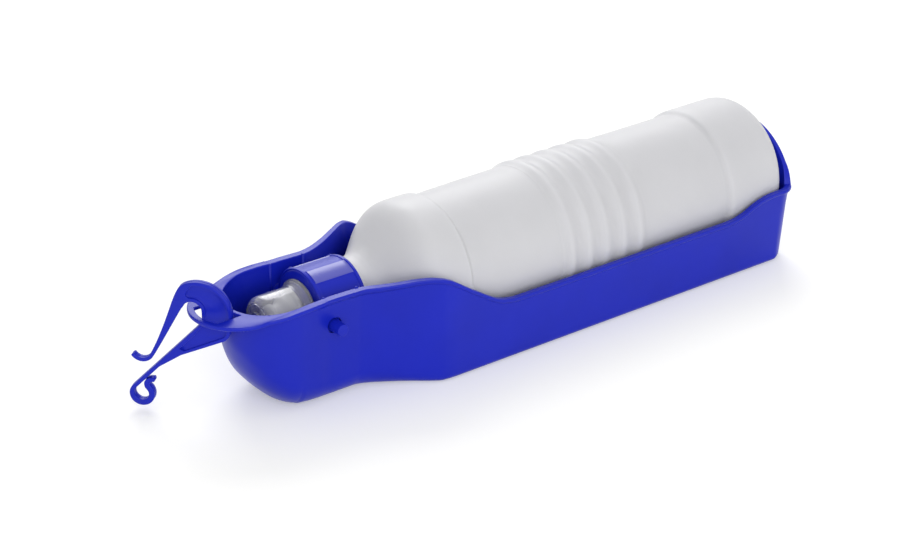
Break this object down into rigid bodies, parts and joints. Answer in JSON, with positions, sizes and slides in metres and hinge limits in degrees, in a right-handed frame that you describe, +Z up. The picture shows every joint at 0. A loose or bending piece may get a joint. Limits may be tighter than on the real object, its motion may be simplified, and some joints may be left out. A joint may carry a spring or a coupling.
{
  "type": "dog travel water bottle",
  "caption": "Squeeze bottle that folds into its own long drinking tray, pivoting in the tray's waist by its screw cap, with a push-pull nozzle, clear dust cap and belt clip.",
  "frame": {"origin": "on the flat underside of the tray, straight below the middle of the pivot pins", "axes": "+Z up, +X from the pivot towards the base of the folded bottle, Y along the pivot pins"},
  "size_m": [0.3061, 0.0724, 0.0655],
  "materials": {
    "blue_plastic": "satin moulded",
    "bottle_plastic": "translucent blow-moulded",
    "seal_rubber": "matt",
    "nozzle_plastic": "smooth",
    "clear_plastic": "clear"
  },
  "bodies": {
    "tray": {"tray": "blue_plastic"},
    "cap": {"screw_cap": "blue_plastic", "neck_seal": "seal_rubber"},
    "bottle": {"bottle": "bottle_plastic"},
    "nozzle": {"nozzle": "nozzle_plastic"},
    "dust_cap": {"dust_cap": "clear_plastic"},
    "clip": {"belt_clip": "blue_plastic"}
  },
  "joints": [
    {"name": "fold", "type": "hinge", "parent": "tray", "child": "cap", "pos_m": [0, 0, 0.034], "axis": [0, -1, 0], "range_deg": [0, 110]},
    {"name": "unscrew", "type": "hinge", "parent": "cap", "child": "bottle", "pos_m": [0, 0, 0.034], "axis": [1, 0, 0], "range_deg": [0, 450]},
    {"name": "nozzle_pull", "type": "slide", "parent": "cap", "child": "nozzle", "axis": [-1, 0, 0], "range_m": [0, 0.004]},
    {"name": "dust_cap_pull", "type": "slide", "parent": "cap", "child": "dust_cap", "axis": [-1, 0, 0], "range_m": [0, 0.005]},
    {"name": "clip_swing", "type": "hinge", "parent": "tray", "child": "clip", "pos_m": [-0.04884, 0.00513, 0.0436], "axis": [0.7547, 0.6561, 0], "range_deg": [-45, 30]}
  ]
}
